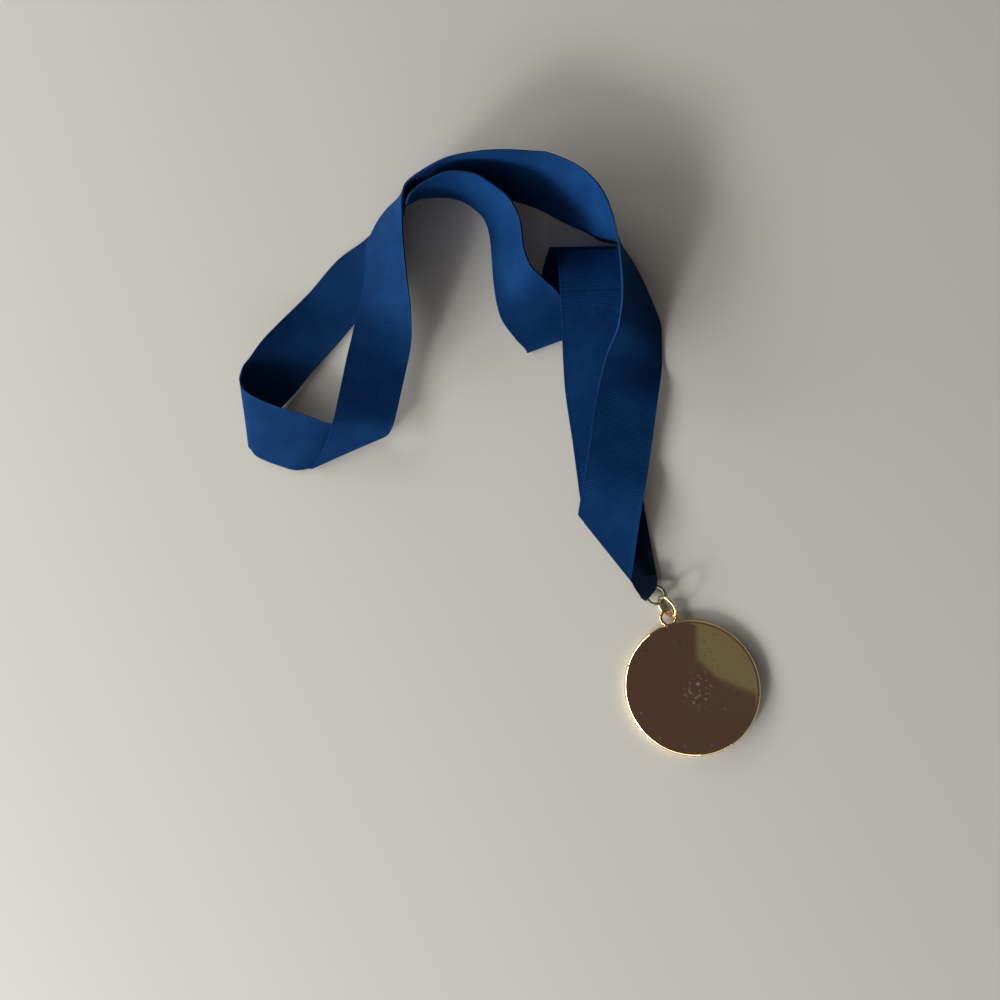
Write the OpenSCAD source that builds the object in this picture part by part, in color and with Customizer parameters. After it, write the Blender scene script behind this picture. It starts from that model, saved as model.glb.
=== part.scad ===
// A race medal lying face up on a floor, its blue neck ribbon dropped above it in one open loop.
// Millimetres. The origin is the middle of the medal's underside, on the floor; +Z is up and
// the ribbon lies towards +Y. The medal's eyelet points up and a little to the left.

/* [Medal] */
// flat polished face, diameter
face_diameter = 50; // [30:0.5:90]
// thickness of the disc
medal_thickness = 3; // [2:0.1:6]
// radius of the rounded edge outside the face
edge_radius = 1; // [0.3:0.1:1.4]
// turn of the eyelet, anticlockwise from +X
eyelet_turn = 107; // [0:1:360]
// middle of the eyelet's hole, from the middle of the medal
eyelet_reach = 28.2; // [20:0.1:50]
// diameter of the eyelet's hole
eyelet_hole = 4.6; // [2:0.1:8]
// width of metal round the hole
eyelet_wall = 1.3; // [0.8:0.1:3]
// thickness of the eyelet
eyelet_thickness = 1.2; // [0.8:0.1:4]
// top of the eyelet above the floor
eyelet_top = 2.9; // [1:0.1:6]

/* [Rings] */
// wire diameter of both rings
wire_diameter = 1; // [0.6:0.1:2]
// outer diameter of the ring through the ribbon
ribbon_ring_diameter = 8; // [5:0.1:15]
// slope of the ribbon's ring, its medal side up
ribbon_ring_slope = 18; // [0:1:45]
// outer diameter of the ring through the medal
medal_ring_diameter = 9.5; // [5:0.1:15]
// slope of the medal's ring, its right side up
medal_ring_slope = 60; // [0:1:90]

/* [Ribbon] */
// width of the woven ribbon
ribbon_width = 25; // [10:0.5:40]
// thickness of the woven ribbon
ribbon_thickness = 1; // [0.6:0.1:2]
// pieces drawn between two rows of the table below
steps = 5; // [2:1:12]
// room round the ring inside the ribbon's hem
hem_clearance = 0.35; // [0.2:0.05:1]
// height of the sewn hem round the ring
hem_height = 3.7; // [3:0.1:6]

/* [Hidden] */

wire = wire_diameter / 2;
medal_radius = face_diameter / 2 + edge_radius;
ribbon_ring_middle = [-13.1, 35.6, 2.4];
ribbon_ring_turn = -132;
medal_ring_middle = [-9.0, 31.2, 4.25];
medal_ring_turn = -54;

ribbon_colour = [0.07, 0.17, 0.42];
gold_colour = [0.80, 0.62, 0.30];
dark_wire_colour = [0.45, 0.38, 0.27];

// How the ribbon lies, from its stitched point round the loop and back to the point.
// One row for each place where it leans, turns or folds:
// x, y, z of one edge; turn and rise of the line across to the other edge; and that
// line's length in ribbon widths, which is over 1 along a slanted fold.
ribbon_rows = [
    // right leg: flat at the point, lifting onto its edge as it goes up
    [-48.4, 33.7, 2.3, 0, 1, 0.98],
    [-42.8, 70.6, 2.6, -1, 7, 1],
    [-39.2, 90.4, 5.9, -4, -8, 1],
    [-35.6, 113.1, 7.0, -2, -9, 1],
    [-31.3, 130.6, 10.2, 2, -23, 1],
    [-26.2, 142.2, 17.8, 4, -44, 1],
    [-24.9, 153.7, 21.5, 15, -58, 1],
    [-25.8, 168.4, 23.4, 57, -68, 1],
    // outer arch: standing on its edge and leaning outwards
    [-27.5, 179.1, 24.9, 62, -81, 1],
    [-30.7, 190.7, 24.3, -96, -74, 1],
    [-36.8, 201.2, 22.5, -96, -59, 1.03],
    [-46.3, 209.5, 20.8, -95, -51, 1.05],
    [-57.4, 213.3, 21.4, -96, -57, 1],
    [-68.6, 213.4, 23.5, -97, -69, 1],
    [-80.5, 212.8, 24.9, -103, -82, 1],
    [-91.9, 211.3, 25.1, 164, -86, 1],
    [-102.6, 207.2, 24.5, 131, -78, 1],
    // middle leg: coming down over the left leg, then resting on the corner's raised edge
    [-112.0, 200.6, 22.9, 127, -66, 1],
    [-113.4, 193.9, 20.2, 144, -53, 1],
    [-113.5, 186.2, 18.4, 154, -42, 1],
    [-112.9, 176.3, 17.5, 159, -32, 1],
    [-111.6, 164.4, 17.2, 161, -28, 1],
    [-110.8, 153.0, 13.5, 167, -15, 1],
    [-111.4, 142.0, 8.6, 174, 3, 1],
    [-114.7, 127.1, 5.4, 172, 14, 1],
    [-117.0, 116.6, 5.0, 177, 15, 1],
    [-118.3, 110.2, 5.4, -173, 12, 1.04],
    [-119.3, 105.8, 6.2, -164, -1, 1.23],
    // slanted fold, rolled back under itself to the left
    [-119.9, 104.3, 5.8, -159, -5, 1.44],
    [-121.9, 102.4, 4.2, -158, -4, 1.44],
    [-125.9, 101.6, 1.4, -158, -1, 1.35],
    [-132.1, 103.1, 1.8, -152, -2, 1.25],
    // lower left corner: upper edge raised, then turning over in a soft roll
    [-139.5, 104.9, 4.6, -144, -8, 1.14],
    [-146.6, 106.8, 8.2, -136, -16, 1.08],
    [-156.0, 110.1, 9.8, -124, -21, 1.03],
    [-166.4, 113.3, 11.2, -114, -24, 1],
    [-174.9, 116.7, 12.0, -105, -26, 1],
    [-180.3, 119.8, 12.2, -96, -26, 1],
    [-183.2, 122.8, 11.6, -92, -24, 1.04],
    [-184.8, 127.1, 10.4, -88, -20, 1.08],
    [-184.5, 131.6, 9.0, -83, -17, 1.11],
    [-181.9, 136.5, 7.8, -75, -15, 1.08],
    // left leg: settling flat on the floor, passing under the middle leg
    [-177.3, 144.0, 6.6, -64, -13, 1.08],
    [-171.9, 150.9, 4.9, -51, -9, 1],
    [-165.5, 158.7, 2.7, -45, -4, 1],
    [-157.5, 168.4, 0.6, -44, 0, 1],
    [-145.9, 181.6, 0.5, -48, 2, 1],
    [-136.0, 188.4, 0.5, -47, 16, 0.88],
    [-128.9, 194.4, 0.6, -50, 32, 0.77],
    [-122.1, 200.4, 0.6, -44, 53, 0.77],
    // inner arch: standing on its edge inside the outer one
    [-115.7, 205.0, 0.3, -44, 67, 1],
    [-108.6, 207.6, 0.3, -29, 69, 1],
    [-100.2, 207.5, 0.3, -14, 71, 1],
    [-92.7, 205.7, 0.3, -9, 69, 1],
    [-86.1, 201.2, 0.3, -9, 65, 1],
    [-81.7, 196.0, 0.3, -11, 58, 1],
    [-79.5, 188.7, 0.3, -16, 52, 1],
    [-78.6, 179.6, 0.4, -20, 50, 1],
    [-77.7, 167.4, 0.8, -7, 43, 1],
    [-75.3, 153.3, 1.4, 22, 10, 1],
    [-68.4, 142.0, 2.2, 26, 1, 1],
    // fold back under itself, up the picture
    [-64.5, 137.6, 2.2, 18, 0, 0.98],
    [-63.7, 136.3, 1.4, 19, 0, 1],
    [-64.2, 137.7, 0.5, 19, 0, 1],
    [-59.5, 159.3, 0.5, 6, 0, 1],
    // fold back over itself, down the picture
    [-54.9, 179.3, 0.5, 0, 0, 1.04],
    [-53.9, 180.9, 2.6, -2, 0, 1.07],
    [-51.8, 178.6, 5.0, -2, -1, 1.05],
    // under leg: down below the right leg to the stitched point
    [-50.1, 167.8, 7.2, -1, -4, 1.06],
    [-49.3, 151.6, 6.0, -1, -3, 1.03],
    [-48.3, 123.7, 2.8, -2, 0, 1],
    [-44.9, 95.9, 0.9, -1, 0, 1],
    [-42.0, 72.0, 0.5, 4, 0, 1],
    [-35.4, 29.7, 0.5, 5, 0, 1],
];

// floor area cut away to leave the ribbon's slanted, pointed end
point_waste = [
    [-90, 0], [0, 0], [0, 41], [-11.6, 40.6], [-14.4, 34.9], [-17.6, 34.5], [-43.3, 67.8], [-90, 128],
];
// narrow area where the two ends are stitched to each other along their slanted cut
stitched_area = [[-41, 66], [-37, 66], [-19.4, 43.6], [-22.6, 41.5]];
// corners of the hem that holds the ring
hem_corners = [[-22.2, 41.8], [-17.4, 36.4], [-15.6, 36.4], [-13.6, 40.6], [-14.4, 44]];

last_row = len(ribbon_rows) - 1;

// the two edge points of a row, as one list of six numbers
function edges(row) =
    let (
        start = [row[0], row[1], row[2]],
        across = [cos(row[4]) * cos(row[3]), cos(row[4]) * sin(row[3]), sin(row[4])]
    )
    concat(start, start + ribbon_width * row[5] * across);

rows = [for (row = ribbon_rows) edges(row)];

function left(p) = [p[0], p[1], p[2]];
function right(p) = [p[3], p[4], p[5]];

// mean travel of the two edges from each row to the next
travel = [
    for (i = [0:last_row - 1])
        (norm(left(rows[i + 1]) - left(rows[i])) + norm(right(rows[i + 1]) - right(rows[i]))) / 2,
];
secants = [for (i = [0:last_row - 1]) (rows[i + 1] - rows[i]) / travel[i]];

// slope at a row that never overshoots its neighbours: the harmonic mean, or level at a turning point
function gentle(a, b) = a * b > 0 ? 2 * a * b / (a + b) : 0;
slopes = [
    for (i = [0:last_row])
        i == 0 ? secants[0]
        : i == last_row ? secants[last_row - 1]
        : [for (k = [0:5]) gentle(secants[i - 1][k], secants[i][k])],
];

// edge points a fraction t of the way from row i to the next
function between(i, t) =
    (2 * pow(t, 3) - 3 * pow(t, 2) + 1) * rows[i]
    + (pow(t, 3) - 2 * pow(t, 2) + t) * travel[i] * slopes[i]
    + (3 * pow(t, 2) - 2 * pow(t, 3)) * rows[i + 1]
    + (pow(t, 3) - pow(t, 2)) * travel[i] * slopes[i + 1];

stations = [
    for (i = [0:last_row - 1]) for (k = [0:steps - 1]) between(i, k / steps),
    rows[last_row],
];
last = len(stations) - 1;

// half the ribbon's thickness, square to its surface
function lift(i) =
    let (
        along = stations[min(i + 1, last)] - stations[max(i - 1, 0)],
        square = cross(left(along) + right(along), right(stations[i]) - left(stations[i]))
    )
    square / norm(square) * ribbon_thickness / 2;

// the strip of cloth: four corners at each station, walls between neighbours and two ends
module strip() {
    corners = [
        for (i = [0:last])
            let (a = left(stations[i]), b = right(stations[i]), n = lift(i))
            each [a + n, b + n, b - n, a - n],
    ];
    walls = [
        for (i = [0:last - 1]) for (k = [0:3])
            let (p = 4 * i + k, q = 4 * i + (k + 1) % 4)
            each [[p, q, q + 4], [p, q + 4, p + 4]],
    ];
    ends = [[3, 2, 1, 0], [4 * last, 4 * last + 1, 4 * last + 2, 4 * last + 3]];
    polyhedron(corners, concat(walls, ends));
}

module hem() {
    hull() {
        for (corner = hem_corners)
            translate([corner[0], corner[1], 0.1])
                cylinder(r = 1.6, h = hem_height - 0.1, $fn = 24);
    }
}

module ring_wire(diameter, room = 0) {
    rotate_extrude($fn = 48)
        translate([diameter / 2 - wire, 0])
            circle(r = wire + room, $fn = 20);
}

module ribbon_ring_wire(room = 0) {
    translate(ribbon_ring_middle)
        rotate([0, 0, ribbon_ring_turn])
            rotate([ribbon_ring_slope, 0, 0])
                ring_wire(ribbon_ring_diameter, room);
}

module ribbon() {
    color(ribbon_colour)
        difference() {
            union() {
                strip();
                translate([0, 0, 0.8])
                    linear_extrude(height = 1.9)
                        polygon(stitched_area);
                hem();
            }
            translate([0, 0, -1])
                linear_extrude(height = 8)
                    polygon(point_waste);
            ribbon_ring_wire(hem_clearance);
        }
}

module ribbon_ring() {
    color(dark_wire_colour)
        ribbon_ring_wire();
}

module medal_ring() {
    color(gold_colour)
        translate(medal_ring_middle)
            rotate([0, 0, medal_ring_turn])
                rotate([medal_ring_slope, 0, 0])
                    ring_wire(medal_ring_diameter);
}

// half section of the disc: flat face, rounded shoulder, straight side and a smaller round below
module disc_section() {
    foot = edge_radius * 0.5;
    polygon(concat(
        [[0, 0], [medal_radius - foot, 0]],
        [for (a = [-75:15:0]) [medal_radius - foot + foot * cos(a), foot + foot * sin(a)]],
        [for (a = [0:10:90])
            [medal_radius - edge_radius + edge_radius * cos(a),
             medal_thickness - edge_radius + edge_radius * sin(a)]],
        [[0, medal_thickness]]
    ));
}

module medal() {
    color(gold_colour)
        difference() {
            union() {
                rotate_extrude($fn = 120)
                    disc_section();
                rotate([0, 0, eyelet_turn])
                    translate([eyelet_reach, 0, eyelet_top - eyelet_thickness])
                        cylinder(d = eyelet_hole + 2 * eyelet_wall, h = eyelet_thickness, $fn = 48);
            }
            rotate([0, 0, eyelet_turn])
                translate([eyelet_reach, 0, -1])
                    cylinder(d = eyelet_hole, h = medal_thickness + 2, $fn = 40);
        }
}

ribbon();
ribbon_ring();
medal_ring();
medal();
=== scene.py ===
"""Looks for a gold race medal lying on a pale floor with its blue neck ribbon dropped above it."""

import math

import bmesh
import bpy
from mathutils import Matrix, Vector

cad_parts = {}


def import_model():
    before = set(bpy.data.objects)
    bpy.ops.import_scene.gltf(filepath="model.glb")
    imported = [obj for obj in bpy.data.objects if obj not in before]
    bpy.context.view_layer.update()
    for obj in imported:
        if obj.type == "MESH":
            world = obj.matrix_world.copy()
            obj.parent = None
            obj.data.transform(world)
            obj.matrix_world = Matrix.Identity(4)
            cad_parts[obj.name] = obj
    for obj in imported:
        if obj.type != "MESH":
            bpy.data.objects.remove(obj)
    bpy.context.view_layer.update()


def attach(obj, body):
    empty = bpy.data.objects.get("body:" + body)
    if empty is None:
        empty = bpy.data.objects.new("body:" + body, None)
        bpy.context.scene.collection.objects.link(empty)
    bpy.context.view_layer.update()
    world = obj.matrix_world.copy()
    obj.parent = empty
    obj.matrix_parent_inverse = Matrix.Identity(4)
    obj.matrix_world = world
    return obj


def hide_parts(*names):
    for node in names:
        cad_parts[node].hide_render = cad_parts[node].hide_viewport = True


MM = 0.001

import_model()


# Ribbon: its route is the CAD model's, row for row

RIBBON_WIDTH = 25.0
CLOTH_THICKNESS = 0.7

# places along the weave (mm): the crease across the under leg, the stretch where painted shade darkens that
# leg towards the point, and the hem, which lies past the end of the loop and gets the same painted shade
CREASE = 719.5
TIP_START, TIP_END = 797.0, 822.0
HEM_START = 900.0

# x, y, z of one edge (mm); turn and rise of the line across (degrees); its length in ribbon widths
RIBBON_ROWS = [
    # right leg: flat at the point, lifting onto its edge as it goes up
    (-48.4, 33.7, 2.3, 0, 1, 0.98),
    (-42.8, 70.6, 2.6, -1, 7, 1),
    (-39.2, 90.4, 5.9, -4, -8, 1),
    (-35.6, 113.1, 7.0, -2, -9, 1),
    (-31.3, 130.6, 10.2, 2, -23, 1),
    (-26.2, 142.2, 17.8, 4, -44, 1),
    (-24.9, 153.7, 21.5, 15, -58, 1),
    (-25.8, 168.4, 23.4, 57, -68, 1),
    # outer arch: standing on its edge and leaning outwards
    (-27.5, 179.1, 24.9, 62, -81, 1),
    (-30.7, 190.7, 24.3, -96, -74, 1),
    (-36.8, 201.2, 22.5, -96, -59, 1.03),
    (-46.3, 209.5, 20.8, -95, -51, 1.05),
    (-57.4, 213.3, 21.4, -96, -57, 1),
    (-68.6, 213.4, 23.5, -97, -69, 1),
    (-80.5, 212.8, 24.9, -103, -82, 1),
    (-91.9, 211.3, 25.1, 164, -86, 1),
    (-102.6, 207.2, 24.5, 131, -78, 1),
    # middle leg: coming down over the left leg, then resting on the corner's raised edge
    (-112.0, 200.6, 22.9, 127, -66, 1),
    (-113.4, 193.9, 20.2, 144, -53, 1),
    (-113.5, 186.2, 18.4, 154, -42, 1),
    (-112.9, 176.3, 17.5, 159, -32, 1),
    (-111.6, 164.4, 17.2, 161, -28, 1),
    (-110.8, 153.0, 13.5, 167, -15, 1),
    (-111.4, 142.0, 8.6, 174, 3, 1),
    (-114.7, 127.1, 5.4, 172, 14, 1),
    (-117.0, 116.6, 5.0, 177, 15, 1),
    (-118.3, 110.2, 5.4, -173, 12, 1.04),
    (-119.3, 105.8, 6.2, -164, -1, 1.23),
    # slanted fold, rolled back under itself to the left
    (-119.9, 104.3, 5.8, -159, -5, 1.44),
    (-121.9, 102.4, 4.2, -158, -4, 1.44),
    (-125.9, 101.6, 1.4, -158, -1, 1.35),
    (-132.1, 103.1, 1.8, -152, -2, 1.25),
    # lower left corner: upper edge raised, then turning over in a soft roll
    (-139.5, 104.9, 4.6, -144, -8, 1.14),
    (-146.6, 106.8, 8.2, -136, -16, 1.08),
    (-156.0, 110.1, 9.8, -124, -21, 1.03),
    (-166.4, 113.3, 11.2, -114, -24, 1),
    (-174.9, 116.7, 12.0, -105, -26, 1),
    (-180.3, 119.8, 12.2, -96, -26, 1),
    (-183.2, 122.8, 11.6, -92, -24, 1.04),
    (-184.8, 127.1, 10.4, -88, -20, 1.08),
    (-184.5, 131.6, 9.0, -83, -17, 1.11),
    (-181.9, 136.5, 7.8, -75, -15, 1.08),
    # left leg: settling flat on the floor, passing under the middle leg
    (-177.3, 144.0, 6.6, -64, -13, 1.08),
    (-171.9, 150.9, 4.9, -51, -9, 1),
    (-165.5, 158.7, 2.7, -45, -4, 1),
    (-157.5, 168.4, 0.6, -44, 0, 1),
    (-145.9, 181.6, 0.5, -48, 2, 1),
    (-136.0, 188.4, 0.5, -47, 16, 0.88),
    (-128.9, 194.4, 0.6, -50, 32, 0.77),
    (-122.1, 200.4, 0.6, -44, 53, 0.77),
    # inner arch: standing on its edge inside the outer one
    (-115.7, 205.0, 0.3, -44, 67, 1),
    (-108.6, 207.6, 0.3, -29, 69, 1),
    (-100.2, 207.5, 0.3, -14, 71, 1),
    (-92.7, 205.7, 0.3, -9, 69, 1),
    (-86.1, 201.2, 0.3, -9, 65, 1),
    (-81.7, 196.0, 0.3, -11, 58, 1),
    (-79.5, 188.7, 0.3, -16, 52, 1),
    (-78.6, 179.6, 0.4, -20, 50, 1),
    (-77.7, 167.4, 0.8, -7, 43, 1),
    (-75.3, 153.3, 1.4, 22, 10, 1),
    (-68.4, 142.0, 2.2, 26, 1, 1),
    # fold back under itself, up the picture
    (-64.5, 137.6, 2.2, 18, 0, 0.98),
    (-63.7, 136.3, 1.4, 19, 0, 1),
    (-64.2, 137.7, 0.5, 19, 0, 1),
    (-59.5, 159.3, 0.5, 6, 0, 1),
    # fold back over itself, down the picture
    (-54.9, 179.3, 0.5, 0, 0, 1.04),
    (-53.9, 180.9, 2.6, -2, 0, 1.07),
    (-51.8, 178.6, 5.0, -2, -1, 1.05),
    # under leg: down below the right leg to the stitched point
    (-50.1, 167.8, 7.2, -1, -4, 1.06),
    (-49.3, 151.6, 6.0, -1, -3, 1.03),
    (-48.3, 123.7, 2.8, -2, 0, 1),
    (-44.9, 95.9, 0.9, -1, 0, 1),
    (-42.0, 72.0, 0.5, 4, 0, 1),
    (-35.4, 29.7, 0.5, 5, 0, 1),
]

# the slanted cut that brings both ends of the ribbon to a point under the hem, left to right
POINT_OUTLINE = [(-43.3, 67.8), (-20.6, 38.6), (-12.0, 41.4)]

# hem at the point, in the same columns: over the top, round the ring's wire and back under itself
HEM_ROWS = [
    (-22.6, 42.2, 3.3, 8, -2, 0.40),
    (-22.1, 40.1, 3.9, 5, -3, 0.39),
    (-20.7, 37.6, 4.0, 8, -4, 0.32),
    (-19.2, 35.6, 3.7, 0, -5, 0.17),
    (-18.5, 34.7, 2.1, -35, 0, 0.08),
    (-19.2, 35.6, 0.6, 0, 0, 0.17),
    (-20.7, 37.8, 0.4, 8, 0, 0.30),
]


def direction(turn, rise):
    """Unit vector from a turn round Z and a rise above the floor, in degrees."""
    turn, rise = math.radians(turn), math.radians(rise)
    return Vector((math.cos(rise) * math.cos(turn), math.cos(rise) * math.sin(turn), math.sin(rise)))


def edges_of(row):
    """The two edge points of a row of the table."""
    x, y, z, turn, rise, widths = row
    start = Vector((x, y, z))
    return start, start + direction(turn, rise) * RIBBON_WIDTH * widths


def gentle(a, b):
    """Slope between two secants that never overshoots: their harmonic mean, or level where they turn."""
    return 2 * a * b / (a + b) if a * b > 0 else 0.0


def strip_stations(table, spacing):
    """(left edge, right edge, distance along) about every `spacing` mm, on smooth curves through the rows."""
    rows = [[*a, *b] for a, b in map(edges_of, table)]
    travel, secants = [], []
    for here, after in zip(rows, rows[1:]):
        step = [q - p for p, q in zip(here, after)]
        travel.append((Vector(step[:3]).length + Vector(step[3:]).length) / 2)
        secants.append([s / travel[-1] for s in step])
    slopes = [secants[0]]
    for before, after in zip(secants, secants[1:]):
        slopes.append([gentle(a, b) for a, b in zip(before, after)])
    slopes.append(secants[-1])

    stations, gone = [], 0.0
    for i, length in enumerate(travel):
        count = max(3, math.ceil(length / spacing))
        for k in range(count + (i == len(travel) - 1)):
            t = k / count
            h = (2 * t**3 - 3 * t**2 + 1, t**3 - 2 * t**2 + t, 3 * t**2 - 2 * t**3, t**3 - t**2)
            p = [
                h[0] * rows[i][c] + h[1] * length * slopes[i][c]
                + h[2] * rows[i + 1][c] + h[3] * length * slopes[i + 1][c]
                for c in range(6)
            ]
            stations.append((Vector(p[:3]), Vector(p[3:]), gone + t * length))
        gone += length
    return stations


# Mesh helpers

def put_in_scene(name, data):
    """A new object of this mesh, light or camera."""
    thing = bpy.data.objects.new(name, data)
    bpy.context.scene.collection.objects.link(thing)
    return thing


def mesh_object(name, bm, material):
    """A new object of one material. The bmesh is used up."""
    mesh = bpy.data.meshes.new(name)
    bm.to_mesh(mesh)
    bm.free()
    mesh.materials.append(material)
    return put_in_scene(name, mesh)


def new_piece(name, bm, node, material):
    """Turns a bmesh in millimetres into a piece that rides on the body and stands for a CAD node."""
    bmesh.ops.scale(bm, vec=(MM, MM, MM), verts=bm.verts)
    piece = mesh_object(name, bm, material)
    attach(piece, "root")
    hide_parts(node)
    return piece


def smooth_with_sharp_edges(bm, limit=50):
    """Shades every face smooth, apart from edges that turn more than `limit` degrees."""
    for face in bm.faces:
        face.smooth = True
    for edge in bm.edges:
        edge.smooth = edge.calc_face_angle(0.0) < math.radians(limit)


def apply_modifiers(piece):
    """Makes the piece's modifiers part of its mesh and shades the result."""
    mesh = bpy.data.meshes.new_from_object(piece.evaluated_get(bpy.context.evaluated_depsgraph_get()))
    piece.modifiers.clear()
    piece.data = mesh
    bm = bmesh.new()
    bm.from_mesh(mesh)
    smooth_with_sharp_edges(bm)
    bm.to_mesh(mesh)
    bm.free()


# Node helpers

class Nodes:
    """A short way to write a material or world as expressions."""

    def __init__(self, owner):
        owner.use_nodes = True
        self.tree = owner.node_tree
        self.tree.nodes.clear()

    def add(self, kind, inputs=(), **settings):
        """A node with its settings, and with each input linked or set."""
        node = self.tree.nodes.new(kind)
        for key, value in settings.items():
            setattr(node, key, value)
        for key, value in dict(inputs).items():
            if isinstance(value, bpy.types.NodeSocket):
                self.tree.links.new(value, node.inputs[key])
            else:
                node.inputs[key].default_value = value
        return node

    def math(self, operation, *values):
        return self.add("ShaderNodeMath", enumerate(values), operation=operation).outputs[0]

    def weighted_sum(self, *terms):
        """Sum of (value, weight) pairs."""
        total, *others = [self.math("MULTIPLY", value, weight) for value, weight in terms]
        for other in others:
            total = self.math("ADD", total, other)
        return total

    def wave(self, value, pitch):
        """Sine that repeats at every pitch."""
        return self.math("SINE", self.math("MULTIPLY", value, 2 * math.pi / pitch))

    def ramp(self, value, low, high, start=0.0, end=1.0):
        """Smooth step of value from low to high."""
        inputs = {0: value, 1: low, 2: high, 3: start, 4: end}
        return self.add("ShaderNodeMapRange", inputs, interpolation_type="SMOOTHSTEP").outputs[0]

    def mix(self, factor, a, b):
        return self.add("ShaderNodeMix", {0: factor, 6: a, 7: b}, data_type="RGBA").outputs[2]

    def noise(self, vector, scale, detail):
        inputs = {"Vector": vector, "Scale": scale, "Detail": detail}
        return self.add("ShaderNodeTexNoise", inputs).outputs["Fac"]

    def distance(self, point, x, y, z):
        """Distance (m) from a place given in mm."""
        inputs = {0: point, 1: (x * MM, y * MM, z * MM)}
        return self.add("ShaderNodeVectorMath", inputs, operation="DISTANCE").outputs["Value"]

    def surface(self, **inputs):
        """The shader, with its inputs by name, and the output."""
        names = {key.replace("_", " ").title().replace("Ior", "IOR"): value for key, value in inputs.items()}
        shader = self.add("ShaderNodeBsdfPrincipled", names)
        self.add("ShaderNodeOutputMaterial", {"Surface": shader.outputs[0]})


# Materials

# the cloth's own two blues, then what is mixed over them with how strongly each shows: painted shade between
# the ribs, a painted highlight along the edges, painted shade in the crease, on the cut sides, and towards
# the point and over the hem
CLOTH_BLUES = ((0.0037, 0.0300, 0.112, 1), (0.0053, 0.0400, 0.135, 1))
PAINTED_SHADE_BETWEEN_RIBS = (0.45, (0.003, 0.017, 0.080, 1))
# painted highlight along both edges of the ribbon
PAINTED_EDGE_HIGHLIGHT = (0.15, (0.040, 0.100, 0.260, 1))
# painted shade in the crease
PAINTED_CREASE_SHADE = (0.30, (0.002, 0.011, 0.050, 1))
# painted shade on the side faces of the cloth
PAINTED_SIDE_SHADE = (0.2, (0.003, 0.015, 0.065, 1))
# painted shade towards the point of the under leg and over the hem
PAINTED_POINT_SHADE = (0.9, (0.0040, 0.0075, 0.0145, 1))

# distance between ribs and between the threads across them (mm)
RIB_PITCH = 0.9
THREAD_PITCH = 0.45


def ribbon_material():
    """Royal blue grosgrain: fine ribs across, a firmer selvage along both edges, one crease. Painted shade
    between the ribs, in the crease, on the cut sides and towards the point, and a painted highlight along
    both edges.
    """
    material = bpy.data.materials.new("ribbon_weave")
    n = Nodes(material)
    place = n.add("ShaderNodeSeparateXYZ", {0: n.add("ShaderNodeUVMap", uv_map="cloth").outputs[0]})
    across = n.math("MULTIPLY", place.outputs[0], RIBBON_WIDTH)
    along = n.math("MULTIPLY", place.outputs[1], 1000.0)
    flat = n.add("ShaderNodeCombineXYZ", {0: across, 1: along}).outputs[0]
    from_edge = n.math("MINIMUM", across, n.math("SUBTRACT", RIBBON_WIDTH, across))
    past_crease = n.math("SUBTRACT", along, CREASE)

    rib = n.wave(along, RIB_PITCH)
    thread = n.wave(across, THREAD_PITCH)
    fuzz = n.noise(flat, 1.6, 4.0)
    selvage = n.ramp(from_edge, 1.3, 0.9)
    crease = n.ramp(n.math("ABSOLUTE", past_crease), 1.0, 0.1)
    rucked = n.math("MULTIPLY", n.ramp(past_crease, 0.0, 3.0), n.ramp(past_crease, 24.0, 14.0))
    rucks = n.math("MULTIPLY", rucked, n.ramp(n.noise(flat, 0.35, 3.0), 0.35, 0.65))
    height = n.weighted_sum(
        (rib, 0.6), (thread, 0.25), (fuzz, 0.9), (selvage, 1.2), (crease, -1.6), (rucks, 1.1)
    )
    bump = n.add("ShaderNodeBump", {"Strength": 0.55, "Distance": 0.00012, "Height": height})

    base = n.mix(n.ramp(n.noise(flat, 0.07, 2.0), 0.35, 0.7), *CLOTH_BLUES)
    # over the base: painted shade between the ribs, a painted highlight along the edges, painted shade in the
    # crease, on the cut sides and towards the point
    for where, (share, blue) in (
        (n.ramp(rib, 0.2, -1.0), PAINTED_SHADE_BETWEEN_RIBS),
        (n.ramp(from_edge, 0.5, 0.1), PAINTED_EDGE_HIGHLIGHT),
        (crease, PAINTED_CREASE_SHADE),
        (n.ramp(from_edge, 0.06, 0.0), PAINTED_SIDE_SHADE),
        (n.ramp(along, TIP_START, TIP_END), PAINTED_POINT_SHADE),
    ):
        base = n.mix(n.math("MULTIPLY", where, share), base, blue)

    n.surface(
        base_color=base,
        roughness=n.ramp(fuzz, 0.2, 0.9, 0.58, 0.74),
        specular_ior_level=0.02,
        sheen_weight=0.03,
        sheen_roughness=0.45,
        sheen_tint=(0.15, 0.50, 1.0, 1),
        normal=bump.outputs[0],
    )
    return material


# height of the medal's face (mm)
FACE_HEIGHT = 3.0

# worn specks on the face: x, y and radius in mm, then how pale (1) or dark (0) the speck is
MEDAL_MARKS = [
    (2.2, 1.6, 0.85, 1.0),
    (0.5, -5.7, 0.55, 0.8),
    (-0.7, 6.1, 0.30, 0.7),
    (5.0, 6.1, 0.35, 0.7),
    (12.1, -7.7, 0.35, 0.8),
    (-19.7, -9.8, 0.60, 0.6),
    (-12.7, -19.1, 0.55, 0.7),
    (-3.3, -21.9, 0.45, 0.7),
    (6.8, -21.3, 0.45, 0.6),
    (-4.2, 17.5, 0.40, 0.0),
    (-17.3, 14.3, 0.35, 0.0),
    (9.5, -8.9, 0.35, 0.0),
]
DARK_SPECK = (0.12, 0.10, 0.08)
PALE_SPECK = (0.98, 0.96, 0.88)

# middle of the scuffed part of the face, the two radii between which it fades out (mm), its colour
SCUFF_MIDDLE = (2.0, -1.5)
SCUFF_FADE = (8.5, 4.5)
SCUFF_COLOUR = (0.95, 0.86, 0.74, 1)

# how a light tarnish changes the red, green and blue of the gold
TARNISH_TINT = (0.95, 1.08, 1.0)


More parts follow.
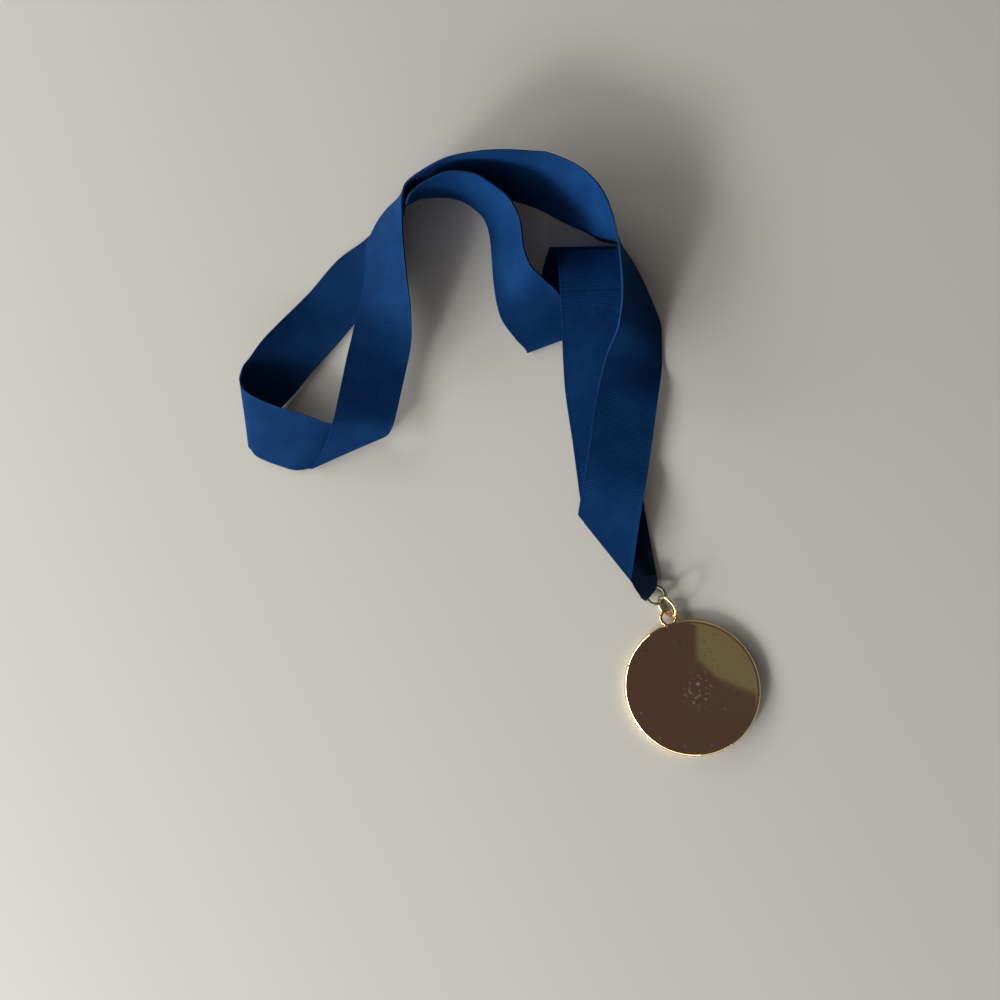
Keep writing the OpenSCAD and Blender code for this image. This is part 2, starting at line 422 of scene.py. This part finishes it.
def gold_material(name, colour, roughness, wear, marks=()):
    """Polished gold plate with faint smears, hairline scratches and dull specks where it is worn.

    wear: how strongly the dull specks show, from 0 to 1
    marks: rows like those of MEDAL_MARKS, which also bring the scuffs
    """
    material = bpy.data.materials.new(name)
    n = Nodes(material)
    point = n.add("ShaderNodeTexCoord").outputs["Object"]
    smear = n.noise(point, 45.0, 5.0)
    grain = n.noise(point, 900.0, 3.0)
    drawn_out = n.add("ShaderNodeMapping", {0: point, 2: (0, 0, 0.6), 3: (1, 14, 1)})
    hair = n.noise(drawn_out.outputs[0], 260.0, 2.0)
    relief = n.math("ADD", smear, hair)
    bump = n.add("ShaderNodeBump", {"Strength": 0.012, "Distance": 0.0001, "Height": relief})

    tarnish = n.math("MULTIPLY", n.ramp(n.noise(point, 75.0, 5.0), 0.44, 0.62), 0.9)
    tarnished = [part * tint for part, tint in zip(colour, TARNISH_TINT)]
    dull = [0.42 * part + grey for part, grey in zip(colour, (0.1, 0.09, 0.07))]
    worn = n.math("MULTIPLY", n.ramp(grain, 0.62, 0.70), wear)
    plate = n.mix(worn, n.mix(tarnish, (*colour, 1), (*tarnished, 1)), (*dull, 1))
    if marks:
        near = n.ramp(n.distance(point, *SCUFF_MIDDLE, FACE_HEIGHT), *(radius * MM for radius in SCUFF_FADE))
        scuffs = n.math("MULTIPLY", near, n.ramp(n.noise(point, 640.0, 5.0), 0.55, 0.62))
        plate = n.mix(n.math("MULTIPLY", scuffs, 0.55), plate, SCUFF_COLOUR)
        worn = n.math("MAXIMUM", worn, scuffs)
    for x, y, radius, pale in marks:
        ragged = n.math("MULTIPLY", grain, radius * MM)
        from_mark = n.math("ADD", n.distance(point, x, y, FACE_HEIGHT), ragged)
        spot = n.ramp(from_mark, 1.6 * radius * MM, 1.1 * radius * MM)
        speck = [dark + (light - dark) * pale for dark, light in zip(DARK_SPECK, PALE_SPECK)]
        plate = n.mix(spot, plate, (*speck, 1))
        worn = n.math("MAXIMUM", worn, spot)

    polish = n.ramp(smear, 0.3, 0.75, roughness, roughness + 0.02)
    n.surface(
        base_color=plate,
        metallic=1.0,
        roughness=n.math("ADD", polish, n.math("MULTIPLY", worn, 0.3)),
        normal=bump.outputs[0],
    )
    return material


# Pieces

def weave_strip(bm, table, spacing, columns, start=0.0):
    """Adds a fine grid of cloth that follows the table's rows, with its place in the weave as UV.

    start: how far along the weave the strip begins (mm)
    """
    stations = strip_stations(table, spacing)
    uv = bm.loops.layers.uv.verify()
    grid, places = [], {}
    for i, (a, b, gone) in enumerate(stations):
        before, after = stations[max(i - 1, 0)], stations[min(i + 1, len(stations) - 1)]
        along = ((after[0] + after[1]) - (before[0] + before[1])).normalized()
        slant = (b - a).dot(along)
        line = []
        for k in range(columns + 1):
            u = k / columns
            vert = bm.verts.new(a.lerp(b, u))
            places[vert] = (u, (start + gone + (u - 0.5) * slant) / 1000)
            line.append(vert)
        grid.append(line)
    for line, following in zip(grid, grid[1:]):
        for k in range(columns):
            face = bm.faces.new((line[k], line[k + 1], following[k + 1], following[k]))
            for loop in face.loops:
                loop[uv].uv = places[loop.vert]


# the cut at the point touches only the cloth right of this x and below this y (mm)
POINT_LEFT, POINT_TOP = -60, 80


def cut_to_point(bm):
    """Cuts the ribbon's two ends along POINT_OUTLINE. What lies beyond it near the point goes."""
    for start, end in zip(POINT_OUTLINE, POINT_OUTLINE[1:]):
        side = Vector((end[0] - start[0], end[1] - start[1], 0))
        near_point = [
            f for f in bm.faces if all(v.co.x > POINT_LEFT and v.co.y < POINT_TOP for v in f.verts)
        ]
        # a dict, not a set, keeps its order, so the mesh is the same at every run
        geometry = dict.fromkeys(near_point)
        for face in near_point:
            geometry.update(dict.fromkeys(face.edges))
            geometry.update(dict.fromkeys(face.verts))
        bmesh.ops.bisect_plane(
            bm,
            geom=list(geometry),
            plane_co=(*start, 0),
            plane_no=(side.y, -side.x, 0),
            clear_outer=True,
        )


def ribbon_cloth(material):
    """The whole ribbon: the loop cut to the point, the hem that holds the ring, and its thickness."""
    bm = bmesh.new()
    bm.loops.layers.uv.new("cloth")
    weave_strip(bm, RIBBON_ROWS, spacing=1.2, columns=20)
    cut_to_point(bm)
    weave_strip(bm, HEM_ROWS, spacing=0.5, columns=12, start=HEM_START)

    piece = new_piece("ribbon_cloth", bm, "ribbon", material)
    solid = piece.modifiers.new("thickness", "SOLIDIFY")
    solid.thickness = CLOTH_THICKNESS * MM
    solid.offset = 0
    apply_modifiers(piece)
    return piece


# thickness of the rings' wire, and the CAD wire's, whose middle it keeps (mm)
WIRE = 1.2
CAD_WIRE = 1.0


def wire_ring(name, node, material, middle, turn, slope, diameter, gap):
    """A jump ring of round wire, bent shut with a fine gap left where its ends meet.

    turn, slope: how it leans, in degrees
    diameter: across the outside of the CAD ring (mm)
    gap: where the ends meet, as an angle round the ring (radians)
    """
    radius = (diameter - CAD_WIRE) / 2
    place = (
        Matrix.Translation(middle)
        @ Matrix.Rotation(math.radians(turn), 4, "Z")
        @ Matrix.Rotation(math.radians(slope), 4, "X")
    )
    bm = bmesh.new()
    around, section, opening = 96, 24, 0.12 / radius
    rounds = []
    for i in range(around + 1):
        angle = gap + opening + i / around * 2 * (math.pi - opening)
        ring = []
        for k in range(section):
            turned = 2 * math.pi * k / section
            reach = radius + WIRE / 2 * math.cos(turned)
            point = Vector((reach * math.cos(angle), reach * math.sin(angle), WIRE / 2 * math.sin(turned)))
            ring.append(bm.verts.new(place @ point))
        rounds.append(ring)
    for ring, following in zip(rounds, rounds[1:]):
        for k in range(section):
            m = (k + 1) % section
            bm.faces.new((ring[k], following[k], following[m], ring[m]))
    bm.faces.new(rounds[0])
    bm.faces.new(reversed(rounds[-1]))
    bmesh.ops.recalc_face_normals(bm, faces=bm.faces)
    smooth_with_sharp_edges(bm)
    new_piece(name, bm, node, material)


def lathe(bm, profile, segments, place=Matrix.Identity(4)):
    """Turns a (radius, height) profile round Z. A radius of 0 becomes one point."""
    lines = []
    for radius, height in profile:
        if radius == 0:
            lines.append([bm.verts.new(place @ Vector((0, 0, height)))] * segments)
            continue
        angles = [2 * math.pi * k / segments for k in range(segments)]
        lines.append([
            bm.verts.new(place @ Vector((radius * math.cos(a), radius * math.sin(a), height))) for a in angles
        ])
    for line, following in zip(lines, lines[1:]):
        for k in range(segments):
            m = (k + 1) % segments
            corners = list(dict.fromkeys((line[k], following[k], following[m], line[m])))
            if len(corners) > 2:
                bm.faces.new(corners)


def arc(middle, radii, start, end, count):
    """Points of a round or oval corner, as (radius, height), angles in degrees."""
    angles = [math.radians(start + (end - start) * k / count) for k in range(count + 1)]
    return [(middle[0] + radii[0] * math.cos(a), middle[1] + radii[1] * math.sin(a)) for a in angles]


def medal_body(material):
    """The struck disc with its rounded edge, and the cast eyelet that grows from its rim."""
    # outlines as (radius, height) in mm, the disc's from the middle of its back to that of its face
    bm = bmesh.new()
    back = [(r, 0.0) for r in (0, 12, 25.3)]
    face = [(r, FACE_HEIGHT) for r in (24.1, 22, 16, 8, 0)]
    lower_edge = arc((25.5, 0.5), (0.5, 0.5), -90, 0, 6)
    shoulder = arc((24.2, 1.7), (1.8, 1.3), 0, 90, 16)
    lathe(bm, back + lower_edge + shoulder + face, 256)

    low, high, inner, outer, soft = 1.7, 2.9, 2.3, 3.6, 0.4
    eyelet = (
        arc((outer - soft, low + soft), (soft, soft), -90, 0, 5)
        + arc((outer - soft, high - soft), (soft, soft), 0, 90, 5)
        + arc((inner + soft, high - soft), (soft, soft), 90, 180, 5)
        + arc((inner + soft, low + soft), (soft, soft), 180, 270, 5)
    )
    to_eyelet = direction(107, 0) * 28.2
    lathe(bm, eyelet + eyelet[:1], 72, Matrix.Translation(to_eyelet))

    bmesh.ops.remove_doubles(bm, verts=bm.verts, dist=0.001)
    bmesh.ops.recalc_face_normals(bm, faces=bm.faces)
    smooth_with_sharp_edges(bm, 30)
    new_piece("medal_body", bm, "medal", material)


# Set, light and camera

def floor():
    """A plain pale floor, 6 m across."""
    material = bpy.data.materials.new("pale_floor")
    Nodes(material).surface(base_color=(0.62, 0.61, 0.575, 1), roughness=0.75, specular_ior_level=0.2)
    bm = bmesh.new()
    bmesh.ops.create_grid(bm, x_segments=2, y_segments=2, size=3.0)
    mesh_object("floor", bm, material)


WALLS = (0.42, 0.42, 0.41, 1)
ABOVE_WALLS = (0.095, 0.088, 0.08, 1)
CEILING = (0.104, 0.072, 0.080, 1)
LIGHTER_CEILING = (0.205, 0.195, 0.165, 1)
WORLD_STRENGTH = 0.75


def world():
    """Pale surroundings, a darker warm ceiling overhead and one lighter part of it."""
    sky = bpy.data.worlds.new("studio")
    bpy.context.scene.world = sky
    n = Nodes(sky)
    way = n.add("ShaderNodeSeparateXYZ", {0: n.add("ShaderNodeTexCoord").outputs["Generated"]})
    up = n.math("MAXIMUM", way.outputs[2], 0.001)
    right = n.math("DIVIDE", way.outputs[0], up)
    back = n.math("DIVIDE", way.outputs[1], up)
    # the lighter part lies right of one line and above two others, in slopes from overhead
    right_of = n.ramp(right, 0.1375, 0.1395)
    above_low = n.ramp(n.math("ADD", back, n.math("MULTIPLY", right, 0.42)), -0.0495, -0.0475)
    above_high = n.ramp(n.math("ADD", back, n.math("MULTIPLY", right, 1.02)), 0.0475, 0.0495)
    lighter = n.math("MULTIPLY", n.math("MULTIPLY", right_of, above_low), above_high)
    overhead = n.mix(lighter, CEILING, LIGHTER_CEILING)
    room = n.mix(n.ramp(way.outputs[2], 0.10, 0.22), WALLS, ABOVE_WALLS)
    colour = n.mix(n.ramp(way.outputs[2], 0.80, 0.93), room, overhead)
    background = n.add("ShaderNodeBackground", {0: colour, 1: WORLD_STRENGTH})
    n.add("ShaderNodeOutputWorld", {0: background.outputs[0]})


# turn and rise of the middle of each panel (degrees), its width and height (m), its power (W)
WINDOW_PANELS = [
    (293, 12, 0.85, 0.20, 1.2),
    (268, 17, 1.00, 0.40, 4.5),
    (230, 18, 1.36, 0.42, 19.5),
    (229, 21, 0.36, 0.30, 15.0),
    (191, 21, 1.26, 0.46, 21.0),
    (147, 14, 1.30, 0.36, 18.0),
]
WINDOW_COLOUR = (1.0, 0.99, 0.95)

# the place that the panels face, over the middle of the object, and how far away they are (m)
LIT_PLACE = Vector((-0.08, 0.10, 0.0))
WINDOW_DISTANCE = 1.8


def window_lights():
    """A long low window at the left and lower left of the picture, as soft panels, one small and bright."""
    for turn, rise, width, height, power in WINDOW_PANELS:
        lamp = bpy.data.lights.new(f"window_{turn}", "AREA")
        lamp.shape = "RECTANGLE"
        lamp.size, lamp.size_y = width, height
        lamp.energy = power
        lamp.color = WINDOW_COLOUR
        light = put_in_scene(lamp.name, lamp)
        towards = direction(turn, rise)
        light.location = LIT_PLACE + towards * WINDOW_DISTANCE
        light.rotation_euler = towards.to_track_quat("Z", "Y").to_euler()


def camera():
    """Held 310 mm above the floor, looking almost straight down."""
    lens = bpy.data.cameras.new("camera")
    lens.sensor_fit = "HORIZONTAL"
    lens.sensor_width, lens.lens = 36.0, 27.36
    lens.clip_start = 0.01
    place = (-0.04035, 0.04000, 0.31000)
    right = Vector((0.99373, 0.0, -0.11185))
    up = Vector((0.01230, 0.99393, 0.10929))
    axes = Matrix((right, up, right.cross(up))).transposed().to_4x4()
    eye = put_in_scene("camera", lens)
    eye.matrix_world = Matrix.Translation(place) @ axes
    bpy.context.scene.camera = eye


# Scene

cloth = ribbon_cloth(ribbon_material())
wire_ring(
    "ribbon_ring_wire",
    node="ribbon_ring",
    material=gold_material("dark_wire", (0.20, 0.18, 0.14), roughness=0.36, wear=0.6),
    middle=(-13.1, 35.6, 2.4),
    turn=-132,
    slope=18,
    diameter=8.0,
    gap=1.2,
)
wire_ring(
    "medal_ring_wire",
    node="medal_ring",
    material=gold_material("bright_gold", (0.92, 0.72, 0.38), roughness=0.14, wear=0.2),
    middle=(-9.0, 31.2, 4.25),
    turn=-54,
    slope=60,
    diameter=9.5,
    gap=2.5,
)
medal_body(gold_material("medal_gold", (0.88, 0.64, 0.37), roughness=0.02, wear=0.3, marks=MEDAL_MARKS))

floor()
world()
window_lights()
camera()
bpy.context.scene.view_settings.view_transform = "Standard"
